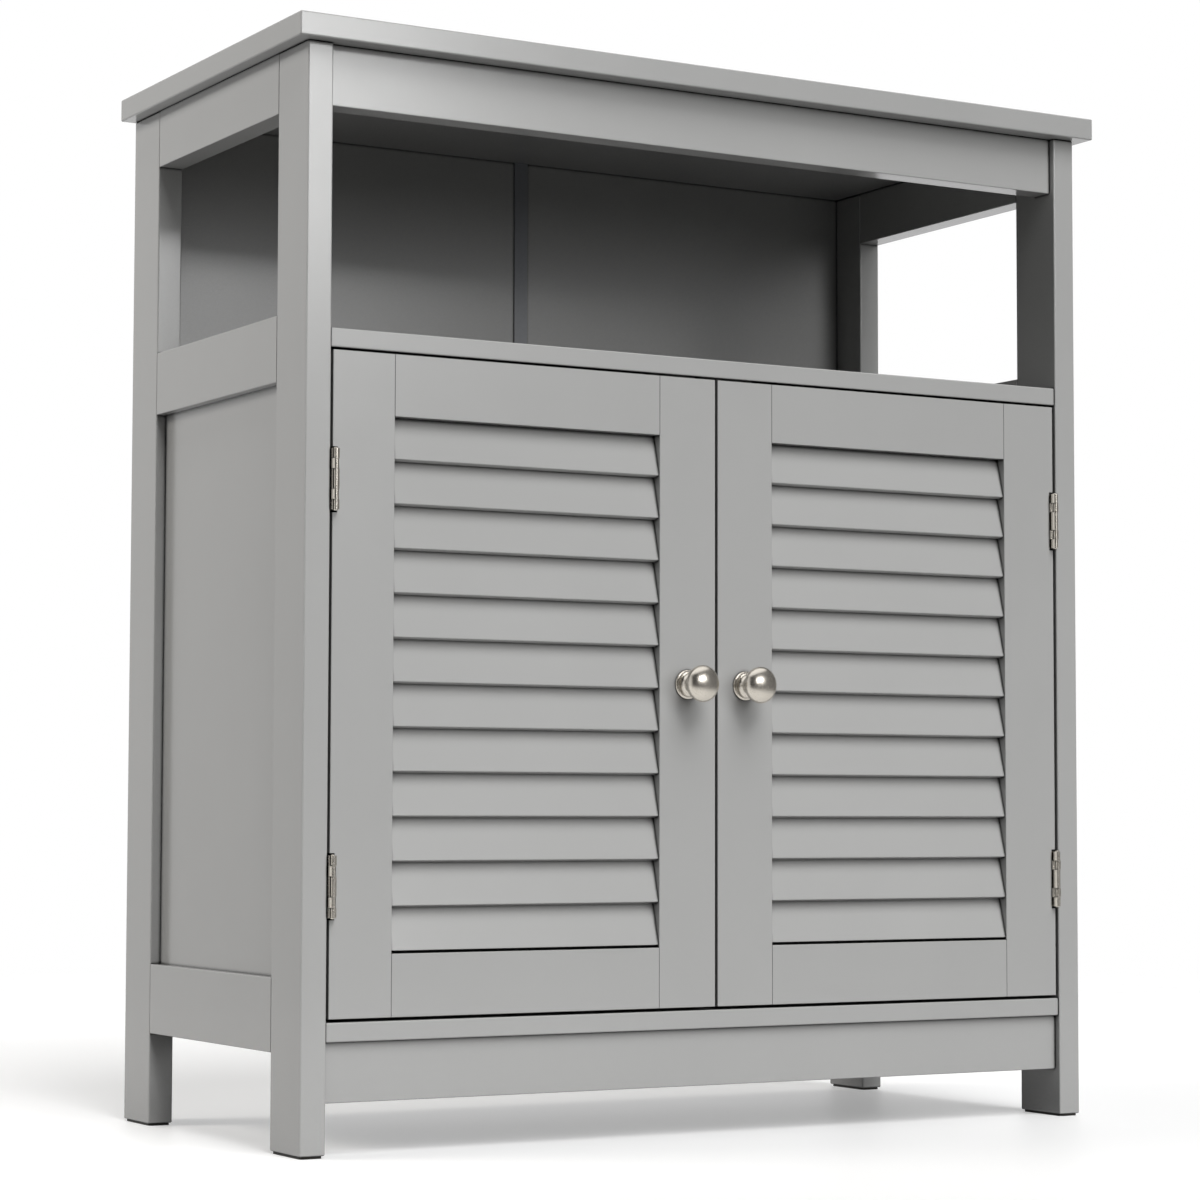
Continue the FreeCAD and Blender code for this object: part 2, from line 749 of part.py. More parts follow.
def board_joints():
    """Where the right-hand boards are fastened.

    Each joint has the anchor board, the held board, the point where the bolt leaves the anchor,
    its direction, the way from the bolt to the cam's face, and the dowel's shift from the bolt.
    Where there is no way to a cam, a second dowel takes the bolt's place.
    """
    cross_bolt_y = cross_back - cam_axis_depth
    apron_bolt_z = (apron_bottom + leg_top) / 2 - rail_bolt_drop
    skirt_bolt_z = (skirt_floor_gap + skirt_top) / 2 - rail_bolt_drop
    rise = Z_AXIS * (rail_bolt_drop + rail_dowel_rise)
    apron_end = Vector(inner_x, cross_bolt_y, apron_bolt_z)
    skirt_end = Vector(inner_x, cross_bolt_y, skirt_bolt_z)
    apron_top = Vector(apron_bolt_position, cross_bolt_y, leg_top)
    step = shelf_dowel_inset - shelf_bolt_inset
    joints = [
        ("leg_front_right", "front_apron", apron_end, -X_AXIS, Y_AXIS, rise),
        ("leg_front_right", "front_skirt", skirt_end, -X_AXIS, Y_AXIS, rise),
        ("top_board", "front_apron", apron_top, -Z_AXIS, Y_AXIS, X_AXIS * step),
    ]
    places = (
        (front_leg_back + shelf_bolt_inset, Y_AXIS * step),
        (rear_leg_front - shelf_bolt_inset, Y_AXIS * -step),
    )
    for y, shift in places:
        middle = Vector(inner_x, y, middle_shelf_bottom + cam_axis_depth)
        bottom = Vector(inner_x, y, skirt_top + cam_axis_depth)
        top = Vector((inner_x + outer_x) / 2, y, leg_top)
        joints += [
            ("side_middle_rail_right", "middle_shelf", middle, -X_AXIS, -Z_AXIS, shift),
            ("side_bottom_rail_right", "bottom_shelf", bottom, -X_AXIS, -Z_AXIS, shift),
            ("top_board", "side_top_rail_right", top, -Z_AXIS, None, shift),
        ]
    return joints


def fasten_boards(pieces, groups):
    for anchor, held, point, along, out, shift in board_joints():
        dowel_points = [point + shift]
        if out is None:
            dowel_points.append(point)
        else:
            bolt, cam, held_cut, anchor_cut = cam_joint(point, along, out)
            pieces[held] = pieces[held].cut(held_cut)
            pieces[anchor] = pieces[anchor].cut(anchor_cut)
            groups["cam_bolts"].append(bolt)
            groups["cam_locks"].append(cam)
        for dowel_point in dowel_points:
            dowel, dowel_held_cut, dowel_anchor_cut = dowel_joint(dowel_point, along)
            pieces[held] = pieces[held].cut(dowel_held_cut)
            pieces[anchor] = pieces[anchor].cut(dowel_anchor_cut)
            groups["dowels"].append(dowel)


def drive_screw(point, direction, pieces, through, screws):
    """Add a wood screw, and its hole to each of the pieces that it goes through."""
    hole = wood_screw(point, direction, round_clearance)
    for name in through:
        pieces[name] = pieces[name].cut(hole)
    screws.append(wood_screw(point, direction))


def add_door(pieces, groups):
    meeting_stile = stile((door_inner_x, meeting_stile_x)).cut(knob_screw(round_clearance))
    pieces["right_door_hinge_stile"] = stile((hinge_stile_x, door_outer_x))
    pieces["right_door_meeting_stile"] = meeting_stile
    pieces["right_door_top_rail"] = door_rail(UPPER_RAIL)
    pieces["right_door_bottom_rail"] = door_rail(LOWER_RAIL)
    pieces["right_knob"] = knob()
    pieces["right_knob_screw"] = knob_screw()
    groups["right_door_louvres"] = [louvre(index) for index in range(louvre_count)]


def hang_door(pieces, groups):
    """The two hinges of a door, their screws and the mortises in the hinge stile."""
    door_stile = "right_door_hinge_stile"
    for place, height in zip(("lower", "upper"), hinge_heights):
        frame_leaf = f"right_{place}_hinge_frame_leaf"
        door_leaf = f"right_{place}_hinge_door_leaf"
        pieces[frame_leaf] = hinge_leaf(height, True)
        pieces[door_leaf] = hinge_leaf(height, False)
        pieces[door_stile] = pieces[door_stile].cut(hinge_mortise(height))
        points, direction = leaf_screw_points(height, True)
        for point in points:
            through = (frame_leaf, "leg_front_right")
            drive_screw(point, direction, pieces, through, groups["cabinet_wood_screws"])
        points, direction = leaf_screw_points(height, False)
        for point in points:
            through = (door_leaf, door_stile)
            drive_screw(point, direction, pieces, through, groups["right_door_wood_screws"])
        groups["right_hinge_pins"].append(hinge_pin(height))


def add_catch(pieces, groups):
    """The catch under the middle shelf and the strike plate that it holds."""
    pieces["right_strike_plate"] = strike_plate()
    face = Vector(meeting_stile_middle, door_back + strike_thickness, strike_middle)
    through = ("right_strike_plate", "right_door_meeting_stile")
    drive_screw(face, -Y_AXIS, pieces, through, groups["right_door_wood_screws"])
    pieces["right_magnetic_catch"] = catch_body()
    for point in catch_screw_points():
        through = ("right_magnetic_catch", "middle_shelf")
        drive_screw(point, Z_AXIS, pieces, through, groups["cabinet_wood_screws"])
    groups["catch_magnets"].append(catch_magnet())


def both_sides(pieces, groups):
    """Every node of the cabinet, with what the left-hand side mirrors."""
    nodes = {}
    for name, solid in pieces.items():
        if "right" in name:
            nodes[name] = [solid]
            nodes[name.replace("right", "left")] = [mirrored(solid)]
        else:
            nodes[name] = [solid.common(mirrored(solid))]
    for name, solids in groups.items():
        copies = [mirrored(solid) for solid in solids]
        if "right" in name:
            nodes[name] = solids
            nodes[name.replace("right", "left")] = copies
        else:
            nodes[name] = solids + copies
    return nodes


def build():
    pieces = {}
    groups = {
        "foot_pads": [foot_pad((front_y, front_leg_back)), foot_pad((rear_leg_front, back_y))],
        "shelf_pins": [shelf_pin(y, pin_row_middle) for y in pin_ys],
        "cam_bolts": [],
        "cam_locks": [],
        "dowels": [],
        "cabinet_wood_screws": [],
        "catch_magnets": [],
        "right_door_wood_screws": [],
        "right_hinge_pins": [],
    }
    add_side_frame(pieces)
    add_cross_boards(pieces)
    pieces["back_panel_right"] = back_panel()
    pieces["back_joining_strip"] = joining_strip()
    fasten_boards(pieces, groups)
    add_door(pieces, groups)
    hang_door(pieces, groups)
    add_catch(pieces, groups)
    return both_sides(pieces, groups)


os.makedirs("parts", exist_ok=True)
for node, solids in build().items():
    shapes = []
    for solid in solids:
        shapes += solid.Solids
    shape = shapes[0] if len(shapes) == 1 else Part.makeCompound(shapes)
    shape.exportStep(f"parts/{node}.step")
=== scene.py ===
import math

import bmesh
import bpy
from mathutils import Matrix, Vector


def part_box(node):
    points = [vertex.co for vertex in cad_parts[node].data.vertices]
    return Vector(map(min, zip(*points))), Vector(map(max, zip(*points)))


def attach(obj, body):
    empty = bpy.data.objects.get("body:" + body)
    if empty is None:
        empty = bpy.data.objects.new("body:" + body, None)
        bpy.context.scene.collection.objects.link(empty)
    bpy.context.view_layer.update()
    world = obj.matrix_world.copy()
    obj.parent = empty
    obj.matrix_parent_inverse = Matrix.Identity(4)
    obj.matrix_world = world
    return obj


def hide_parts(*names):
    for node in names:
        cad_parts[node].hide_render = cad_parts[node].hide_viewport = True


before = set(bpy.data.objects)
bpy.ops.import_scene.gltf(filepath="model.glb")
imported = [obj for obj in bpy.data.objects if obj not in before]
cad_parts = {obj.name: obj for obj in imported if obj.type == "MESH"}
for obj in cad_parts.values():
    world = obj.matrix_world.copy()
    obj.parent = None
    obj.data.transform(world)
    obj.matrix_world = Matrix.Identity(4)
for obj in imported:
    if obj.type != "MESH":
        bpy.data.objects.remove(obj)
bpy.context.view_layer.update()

# Louvred door cabinet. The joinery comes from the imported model. The louvre blades, the knobs and
# the rolled hinge leaves are modelled here, and every surface gets its finish here.

MM = 0.001

# ---------------------------------------------------------------- sizes of the pieces made here

BLADE_COUNT = 12
BLADE_WIDTH = 30 * MM
BLADE_THICKNESS = 5 * MM
BLADE_TILT = math.radians(14.5)
BLADE_SETBACK = 1.2 * MM          # from the rails' face to the blades' front edges
BLADE_EDGE_RADIUS = 0.6 * MM
BLADE_EDGE_SEGMENTS = 8
BLADE_FLAT_BORDER = 0.3 * MM      # keeps the rounding of the edges out of the flat faces
BLADE_WIDE_FACE = 1000 * MM * MM  # only a blade's two wide faces have more area than this

KNOB_SEGMENTS = 96
# The knob's outline, in millimetres, from the door to the front. A pair is (radius, height).
KNOB_FOOT = ((9.4, 0.0), (9.5, 0.1), (9.5, 0.75), (9.45, 0.85), (9.15, 1.15), (9.05, 1.2))
KNOB_STEP = ((8.35, 1.22), (8.22, 1.32), (8.2, 1.45), (8.2, 2.25), (8.12, 2.38))
KNOB_STEP_RADIUS = 8.2
KNOB_STEP_HEIGHT = 2.4
KNOB_WAIST_RADIUS = 4.6
KNOB_WAIST = ((KNOB_WAIST_RADIUS, 8.5), (KNOB_WAIST_RADIUS, 11.5))
KNOB_RIM_RADIUS = 12.0
KNOB_RIM_HEIGHT = 18.6
KNOB_HEAD_BACK = 4.4
KNOB_HEAD_FRONT = 5.9
KNOB_TIP_RADIUS = 0.12
KNOB_FLARE_STEPS = 12
KNOB_BACK_STEPS = 16
KNOB_DOME_STEPS = 25

LEAF_THICKNESS = 1.2 * MM
LEAF_WIDTH = 14 * MM
LEAF_CORNER = 2 * MM
LEAF_CORNER_SEGMENTS = 8
BARREL_RADIUS = 2.6 * MM
KNUCKLE_SHARES = (1, 1, 2, 1, 1)
KNUCKLE_GAP = 0.15 * MM
ROLL_ANGLE = math.radians(292)
ROLL_STEPS = 28
SCREW_HEAD_RADIUS = 2.65 * MM
SCREW_SHANK_RADIUS = 1.3 * MM
SCREW_SPACING = 24 * MM
SCREW_EDGE = 5.5 * MM
SCREW_HOLE_SEGMENTS = 48
PRESSED_EDGE = 0.3 * MM

CLOSE_BY = 0.01 * MM              # how near to an edge a corner is picked
SAME_PLACE = 0.001 * MM           # corners nearer than this become one


# ---------------------------------------------------------------- shading helpers

def colour(code):
    """A linear RGBA colour from an sRGB hex code."""
    values = []
    for start in (1, 3, 5):
        share = int(code[start:start + 2], 16) / 255
        if share <= 0.04045:
            values.append(share / 12.92)
        else:
            values.append(((share + 0.055) / 1.055) ** 2.4)
    return (*values, 1.0)


def add_node(tree, kind, sockets=None, **settings):
    """Adds a shader node. Sockets maps an input to a value, or to the output that feeds it."""
    node = tree.nodes.new(kind)
    for name, value in settings.items():
        setattr(node, name, value)
    for name, value in (sockets or {}).items():
        if isinstance(value, bpy.types.NodeSocket):
            tree.links.new(value, node.inputs[name])
        else:
            node.inputs[name].default_value = value
    return node


def new_material(name):
    material = bpy.data.materials.new(name)
    material.use_nodes = True
    material.node_tree.nodes.clear()
    return material, material.node_tree


# How painted shade gathers in a hollow: the colour is darkened where other surfaces stand close.
# Reach is how near the other wall is. Shut and open_at are the shares of free sky at which a
# place is darkest and in full light. Deepest is what is left of the colour in the dark.
COMPARTMENT_SHADE = {"reach": 300 * MM, "shut": 0.05, "open_at": 0.50, "deepest": 0.50}
LAP_SHADE = {"reach": 9 * MM, "shut": 0.35, "open_at": 0.62, "deepest": 0.62}
JOINT_SHADE = {"reach": 2.2 * MM, "shut": 0.48, "open_at": 0.92, "deepest": 0.02}
KNUCKLE_SHADE = {"reach": 1.5 * MM, "shut": 0.42, "open_at": 0.80, "deepest": 0.02}
KNOB_SHADE = {**KNUCKLE_SHADE, "reach": 8 * MM}

PAINTED_SHADE_COLOUR = "#0A0A0A"
SHADE_SAMPLES = 6

NOISE_LOW, NOISE_HIGH = 0.3, 0.7  # nearly all of a noise pattern's values lie between these


def with_painted_shade(tree, tint, reach, shut, open_at, deepest):
    """The colour with painted shade, darkened where nearby surfaces keep the light away."""
    hollow = add_node(
        tree, "ShaderNodeAmbientOcclusion", {"Distance": reach}, samples=SHADE_SAMPLES
    )
    light_left = add_node(
        tree,
        "ShaderNodeMapRange",
        {"Value": hollow.outputs["AO"], "From Min": shut, "From Max": open_at, "To Min": deepest},
    )
    result = add_node(
        tree,
        "ShaderNodeMix",
        {"Factor": light_left.outputs["Result"], "A": colour(PAINTED_SHADE_COLOUR), "B": tint},
        data_type="RGBA",
    )
    return result.outputs["Result"]


CLOUD_SIZE = 90 * MM              # uneven thickness of the coats
HAZE_SIZE = 14 * MM               # patches that dried a little duller
LACQUER_HAZE = 0.01
LACQUER_IOR = 1.55


def satin_lacquer(name, dark, light, roughness, peel_size, peel_height, lapped=False):
    """A sprayed satin lacquer: an even colour, broken by faint clouds, orange peel and painted shade.

    A lapped piece lies partly under the next one, and has a painted shade there."""
    material, tree = new_material(name)
    place = add_node(tree, "ShaderNodeTexCoord").outputs["Object"]
    clouds = add_node(
        tree, "ShaderNodeTexNoise", {"Vector": place, "Scale": 1 / CLOUD_SIZE, "Detail": 3.0}
    )
    tint = add_node(
        tree,
        "ShaderNodeMix",
        {"Factor": clouds.outputs["Fac"], "A": colour(dark), "B": colour(light)},
        data_type="RGBA",
    )
    haze = add_node(
        tree, "ShaderNodeTexNoise", {"Vector": place, "Scale": 1 / HAZE_SIZE, "Detail": 2.0}
    )
    gloss = add_node(
        tree,
        "ShaderNodeMapRange",
        {
            "Value": haze.outputs["Fac"],
            "From Min": NOISE_LOW,
            "From Max": NOISE_HIGH,
            "To Min": roughness - LACQUER_HAZE,
            "To Max": roughness + LACQUER_HAZE,
        },
    )
    peel = add_node(
        tree, "ShaderNodeTexNoise", {"Vector": place, "Scale": 1 / peel_size, "Detail": 2.0}
    )
    bump = add_node(
        tree,
        "ShaderNodeBump",
        {"Height": peel.outputs["Fac"], "Distance": peel_height, "Strength": 1.0},
    )
    # Painted shade: darker in the compartments, under the blade above, and in lines at joints.
    paint = with_painted_shade(tree, tint.outputs["Result"], **COMPARTMENT_SHADE)
    if lapped:
        paint = with_painted_shade(tree, paint, **LAP_SHADE)
    paint = with_painted_shade(tree, paint, **JOINT_SHADE)
    shader = add_node(
        tree,
        "ShaderNodeBsdfPrincipled",
        {
            "Base Color": paint,
            "Roughness": gloss.outputs["Result"],
            "Normal": bump.outputs["Normal"],
            "IOR": LACQUER_IOR,
        },
    )
    add_node(tree, "ShaderNodeOutputMaterial", {"Surface": shader.outputs["BSDF"]})
    return material


METAL_HAZE = 0.04


def metal_finish(name, code, roughness, grain, grain_height, shade=KNUCKLE_SHADE):
    """A bare or plated metal with a fine even grain, with painted shade in its deep corners."""
    material, tree = new_material(name)
    place = add_node(tree, "ShaderNodeTexCoord").outputs["Object"]
    pattern = add_node(
        tree, "ShaderNodeTexNoise", {"Vector": place, "Scale": 1 / grain, "Detail": 2.0}
    )
    gloss = add_node(
        tree,
        "ShaderNodeMapRange",
        {
            "Value": pattern.outputs["Fac"],
            "From Min": NOISE_LOW,
            "From Max": NOISE_HIGH,
            "To Min": roughness - METAL_HAZE,
            "To Max": roughness + METAL_HAZE,
        },
    )
    bump = add_node(
        tree,
        "ShaderNodeBump",
        {"Height": pattern.outputs["Fac"], "Distance": grain_height, "Strength": 1.0},
    )
    shader = add_node(
        tree,
        "ShaderNodeBsdfPrincipled",
        {
            "Base Color": with_painted_shade(tree, colour(code), **shade),
            "Metallic": 1.0,
            "Roughness": gloss.outputs["Result"],
            "Normal": bump.outputs["Normal"],
        },
    )
    add_node(tree, "ShaderNodeOutputMaterial", {"Surface": shader.outputs["BSDF"]})
    return material


def plain_finish(name, dark, light, roughness, grain, grain_height, sheen=0.0):
    """Plastic, foam, ferrite or wood, coloured all through, with the grain of its surface."""
    material, tree = new_material(name)
    place = add_node(tree, "ShaderNodeTexCoord").outputs["Object"]
    spots = add_node(
        tree, "ShaderNodeTexNoise", {"Vector": place, "Scale": 1 / grain, "Detail": 4.0}
    )
    tint = add_node(
        tree,
        "ShaderNodeMix",
        {"Factor": spots.outputs["Fac"], "A": colour(dark), "B": colour(light)},
        data_type="RGBA",
    )
    bump = add_node(
        tree,
        "ShaderNodeBump",
        {"Height": spots.outputs["Fac"], "Distance": grain_height, "Strength": 1.0},
    )
    shader = add_node(
        tree,
        "ShaderNodeBsdfPrincipled",
        {
            "Base Color": tint.outputs["Result"],
            "Roughness": roughness,
            "Sheen Weight": sheen,
            "Normal": bump.outputs["Normal"],
        },
    )
    add_node(tree, "ShaderNodeOutputMaterial", {"Surface": shader.outputs["BSDF"]})
    return material


# ---------------------------------------------------------------- finishes

# Each finish is named for the real material and how its surface is made. The comment above it
# says what that gives the eye. The last two sizes are the width and the height of its pattern.

# The lacquers carry painted shade in hollows and joints, the metals in their deep corners.
MATERIALS = {
    # Satin lacquer sprayed on smooth board: an even mid grey. A lamp shows in it as a clear
    # patch with soft edges, and an orange peel of 1.4 mm ripples that patch a little.
    "painted_board": satin_lacquer(
        "satin_lacquer_on_board", "#A7A7A6", "#ADADAC", 0.16, 1.4 * MM, 0.004 * MM
    ),
    # The same lacquer on thin hardboard, which soaks up some of it: a touch darker and duller,
    # with the pressed fibres just felt through the coat.
    "painted_hardboard": satin_lacquer(
        "satin_lacquer_on_hardboard", "#A5A5A4", "#ACACAB", 0.20, 1.1 * MM, 0.006 * MM
    ),
    # Extruded PVC: a cool grey that is the same all through, silky, with long soft highlights.
    "strip_plastic": plain_finish(
        "extruded_pvc", "#77797D", "#7F8186", 0.35, 2 * MM, 0.004 * MM
    ),
    # Dense moulded foam: nearly black and fully matt, with open cells on its cut skin.
    "pad_felt": plain_finish(
        "moulded_foam", "#141312", "#26241F", 0.95, 0.5 * MM, 0.2 * MM, sheen=0.3
    ),
    # Satin nickel plate: warm pale metal, brushed until a lamp is a soft bright streak. Its
    # grain is finer than 0.1 mm and can't show, so it is drawn at 0.3 mm.
    "satin_nickel": metal_finish("satin_nickel_plate", "#D6D0C6", 0.25, 0.3 * MM, 0.002 * MM),
    # Bright zinc plate: cool pale metal with blurred reflections. The crystals of the plate
    # are too fine to show, so they are drawn at 0.5 mm.
    "zinc_plated_steel": metal_finish(
        "bright_zinc_plated_steel", "#C6C8CA", 0.32, 0.5 * MM, 0.002 * MM
    ),
    # Die-cast zinc: dull grey metal, with the slightly uneven skin that the mould leaves.
    "zinc_alloy": metal_finish("die_cast_zinc", "#A9AAAC", 0.45, 0.8 * MM, 0.02 * MM),
    # Moulded nylon: warm white plastic, even, with a soft shine.
    "catch_plastic": plain_finish(
        "moulded_nylon", "#DAD8D2", "#E2E0DA", 0.4, 1.5 * MM, 0.004 * MM
    ),
    # Sintered ferrite: charcoal ceramic, dull, with a fine gritty face.
    "ferrite": plain_finish("sintered_ferrite", "#26262A", "#323236", 0.6, 0.4 * MM, 0.02 * MM),
    # Turned beech: pale warm wood, raw and dull, with short flecks.
    "beech": plain_finish("turned_beech", "#C79C6E", "#DCB98C", 0.6, 1.2 * MM, 0.03 * MM),
}

# The blades get the board's lacquer on a finer sanded face: a little glossier, with a painted
# shade in the strip that the blade above keeps from the light.
BLADE_LACQUER = satin_lacquer(
    "satin_lacquer_on_blades", "#A7A7A6", "#ADADAC", 0.12, 1.4 * MM, 0.004 * MM, lapped=True
)

# The knobs' nickel is plated thicker than the hinges' and a touch browner. Painted shade darkens
# it round the waist, where head and foot face each other.
KNOB_NICKEL = metal_finish(
    "satin_nickel_plate_on_knobs", "#CCC6BC", 0.26, 0.3 * MM, 0.002 * MM, KNOB_SHADE
)

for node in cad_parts.values():
    for slot in node.material_slots:
        slot.material = MATERIALS[slot.material.name]


# ---------------------------------------------------------------- modelling helpers

def deselect():
    bpy.ops.object.select_all(action="DESELECT")


def edit(piece):
    bpy.context.view_layer.objects.active = piece
    bpy.ops.object.mode_set(mode="EDIT")


def leave():
    bpy.ops.object.mode_set(mode="OBJECT")


def pick(piece, kind, wanted):
    """In edit mode, selects the faces, edges or vertices that pass a test of part and middle."""
    bpy.ops.mesh.select_mode(type=kind)
    bpy.ops.mesh.select_all(action="DESELECT")
    mesh = bmesh.from_edit_mesh(piece.data)
    parts = {"FACE": mesh.faces, "EDGE": mesh.edges, "VERT": mesh.verts}[kind]
    for part in parts:
        corners = [part.co] if kind == "VERT" else [v.co for v in part.verts]
        middle = sum(corners, Vector()) / len(corners)
        if wanted(part, middle):
            part.select_set(True)
    mesh.select_flush_mode()
    bmesh.update_edit_mesh(piece.data)


def set_in_place(piece, name):
    """Puts the object at the origin, with its place in its mesh."""
    deselect()
    piece.select_set(True)
    bpy.context.view_layer.objects.active = piece
    bpy.ops.object.transform_apply(location=True, rotation=True, scale=True)
    piece.name = name
    piece.data.name = name


def apply_modifier(piece, kind, **settings):
    bpy.context.view_layer.objects.active = piece
    modifier = piece.modifiers.new(kind.lower(), kind)
    for name, value in settings.items():
        setattr(modifier, name, value)
    bpy.ops.object.modifier_apply(modifier=modifier.name)


def smooth(piece, degrees):
    """Shades the piece smooth, but for edges sharper than an angle."""
    deselect()
    piece.select_set(True)
    bpy.context.view_layer.objects.active = piece
    bpy.ops.object.shade_smooth_by_angle(angle=math.radians(degrees))


def copy_of(piece, name, shift=(0, 0, 0), mirrored=False):
    """A copy with its own mesh, moved, or mirrored to the other side of the cabinet."""
    deselect()
    piece.select_set(True)
    bpy.context.view_layer.objects.active = piece
    bpy.ops.object.duplicate(linked=False)
    twin = bpy.context.object
    twin.name = name
    twin.data.name = name
    edit(twin)
    bpy.ops.mesh.select_all(action="SELECT")
    bpy.ops.transform.translate(value=shift)
    if mirrored:
        bpy.ops.transform.resize(value=(-1, 1, 1), center_override=(0, 0, 0))
        bpy.ops.mesh.flip_normals()
    leave()
    return twin


def finish_piece(piece, slot, body, node, material=None):
    """Gives the piece its finish, puts it in the node's place and lets it ride on a body."""
    piece.data.materials.clear()
    piece.data.materials.append(material or MATERIALS[slot])
    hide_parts(node)
    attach(piece, body)


# ---------------------------------------------------------------- louvre blades

def louvre_blade(middle, length):
    """One slat, tilted outwards at its lower edge, with all its long edges rounded."""
    deselect()
    bpy.ops.mesh.primitive_cube_add(
        size=1,
        location=middle,
        rotation=(-BLADE_TILT, 0, 0),
        scale=(length, BLADE_THICKNESS, BLADE_WIDTH),
    )
    blade = bpy.context.object
    set_in_place(blade, "louvre_blades_right")
    edit(blade)
    pick(blade, "EDGE", lambda edge, at: abs((edge.verts[0].co - edge.verts[1].co).x) > MM)
    bpy.ops.mesh.bevel(offset=BLADE_EDGE_RADIUS, segments=BLADE_EDGE_SEGMENTS, affect="EDGES")
    pick(blade, "FACE", lambda face, at: face.calc_area() > BLADE_WIDE_FACE)
    bpy.ops.mesh.inset(thickness=BLADE_FLAT_BORDER, depth=0)
    leave()
    smooth(blade, degrees=30)
    return blade


def louvre_blades():
    """The blades of the right-hand door, spread evenly between its rails."""
    low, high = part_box("right_door_louvres")
    rail_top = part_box("right_door_bottom_rail")[1].z
    top_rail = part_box("right_door_top_rail")[0]
    gap = low.z - rail_top
    pitch = (top_rail.z - rail_top - gap) / BLADE_COUNT
    lean = Vector((0, math.sin(BLADE_TILT), math.cos(BLADE_TILT)))
    back = Vector((0, math.cos(BLADE_TILT), -math.sin(BLADE_TILT)))
    front_edge = Vector(((low.x + high.x) / 2, top_rail.y + BLADE_SETBACK, rail_top + gap))
    front_edge.z += BLADE_THICKNESS * math.sin(BLADE_TILT)
    middle = front_edge + lean * (BLADE_WIDTH / 2) + back * (BLADE_THICKNESS / 2)
    blade = louvre_blade(middle, high.x - low.x)
    blades = [blade]
    for index in range(1, BLADE_COUNT):
        blades.append(copy_of(blade, f"blade_{index}", (0, 0, index * pitch)))
    deselect()
    for piece in blades:
        piece.select_set(True)
    bpy.context.view_layer.objects.active = blade
    bpy.ops.object.join()
    return blade


right_blades = louvre_blades()
left_blades = copy_of(right_blades, "louvre_blades_left", mirrored=True)
finish_piece(right_blades, "painted_board", "right_door", "right_door_louvres", BLADE_LACQUER)
finish_piece(left_blades, "painted_board", "left_door", "left_door_louvres", BLADE_LACQUER)


# ---------------------------------------------------------------- knobs

def knob_outline():
    """(radius, height) along the knob in metres: foot, step, flare, waist, head and dome."""
    outline = [*KNOB_FOOT, *KNOB_STEP]
    flare = KNOB_STEP_RADIUS - KNOB_WAIST_RADIUS
    for step in range(1, KNOB_FLARE_STEPS + 1):
        turn = math.pi / 2 * step / KNOB_FLARE_STEPS
        height = KNOB_STEP_HEIGHT + flare - flare * math.cos(turn)
        outline.append((KNOB_STEP_RADIUS - flare * math.sin(turn), height))
    outline += KNOB_WAIST
    overhang = KNOB_RIM_RADIUS - KNOB_WAIST_RADIUS
    for step in range(KNOB_BACK_STEPS + 1):
        turn = math.pi / 2 * step / KNOB_BACK_STEPS
        height = KNOB_RIM_HEIGHT - KNOB_HEAD_BACK * math.cos(turn)
        outline.append((KNOB_WAIST_RADIUS + overhang * math.sin(turn), height))
    for step in range(1, KNOB_DOME_STEPS):
        turn = math.pi / 2 * step / KNOB_DOME_STEPS
        height = KNOB_RIM_HEIGHT + KNOB_HEAD_FRONT * math.sin(turn)
        outline.append((KNOB_RIM_RADIUS * math.cos(turn), height))
    outline.append((KNOB_TIP_RADIUS, KNOB_RIM_HEIGHT + KNOB_HEAD_FRONT))
    return [(radius * MM, height * MM) for radius, height in outline]


def turned_knob():
    """The right-hand knob: a disc, extruded and scaled from point to point of its outline."""
    low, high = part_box("right_knob")
    axis = Vector(((low.x + high.x) / 2, high.y, (low.z + high.z) / 2))
    outline = knob_outline()
    deselect()
    bpy.ops.mesh.primitive_circle_add(
        vertices=KNOB_SEGMENTS,
        radius=outline[0][0],
        fill_type="NGON",
        location=axis,
        rotation=(math.pi / 2, 0, 0),
    )
    knob = bpy.context.object
    set_in_place(knob, "turned_knob_right")
    edit(knob)
    bpy.ops.mesh.select_mode(type="FACE")
    bpy.ops.mesh.select_all(action="SELECT")
    for (radius, height), (next_radius, next_height) in zip(outline, outline[1:]):
        bpy.ops.mesh.extrude_region_move(
            TRANSFORM_OT_translate={"value": (0, height - next_height, 0)}
        )
        share = next_radius / radius
        centre = axis - Vector((0, next_height, 0))
        bpy.ops.transform.resize(value=(share, 1, share), center_override=centre)
    bpy.ops.mesh.merge(type="CENTER")
    bpy.ops.mesh.select_all(action="SELECT")
    bpy.ops.mesh.remove_doubles(threshold=SAME_PLACE)
    bpy.ops.mesh.normals_make_consistent(inside=False)
    leave()
    smooth(knob, degrees=40)
    return knob


right_knob = turned_knob()
left_knob = copy_of(right_knob, "turned_knob_left", mirrored=True)
finish_piece(right_knob, "satin_nickel", "right_door", "right_knob", KNOB_NICKEL)
finish_piece(left_knob, "satin_nickel", "left_door", "left_knob", KNOB_NICKEL)


# ---------------------------------------------------------------- hinges

def knuckle_spans(bottom, top, on_frame):
    """The height span of each knuckle that one leaf carries, with the running gaps taken off."""
    share = (top - bottom) / sum(KNUCKLE_SHARES)
    spans = []
    start = bottom
    for index, shares in enumerate(KNUCKLE_SHARES):
        end = start + shares * share
        if (index % 2 == 0) == on_frame:
            low = start if index == 0 else start + KNUCKLE_GAP / 2
            high = end if index == len(KNUCKLE_SHARES) - 1 else end - KNUCKLE_GAP / 2
            spans.append((low, high))
        start = end
    return spans


def in_spans(height, spans):
    return any(start < height < end for start, end in spans)


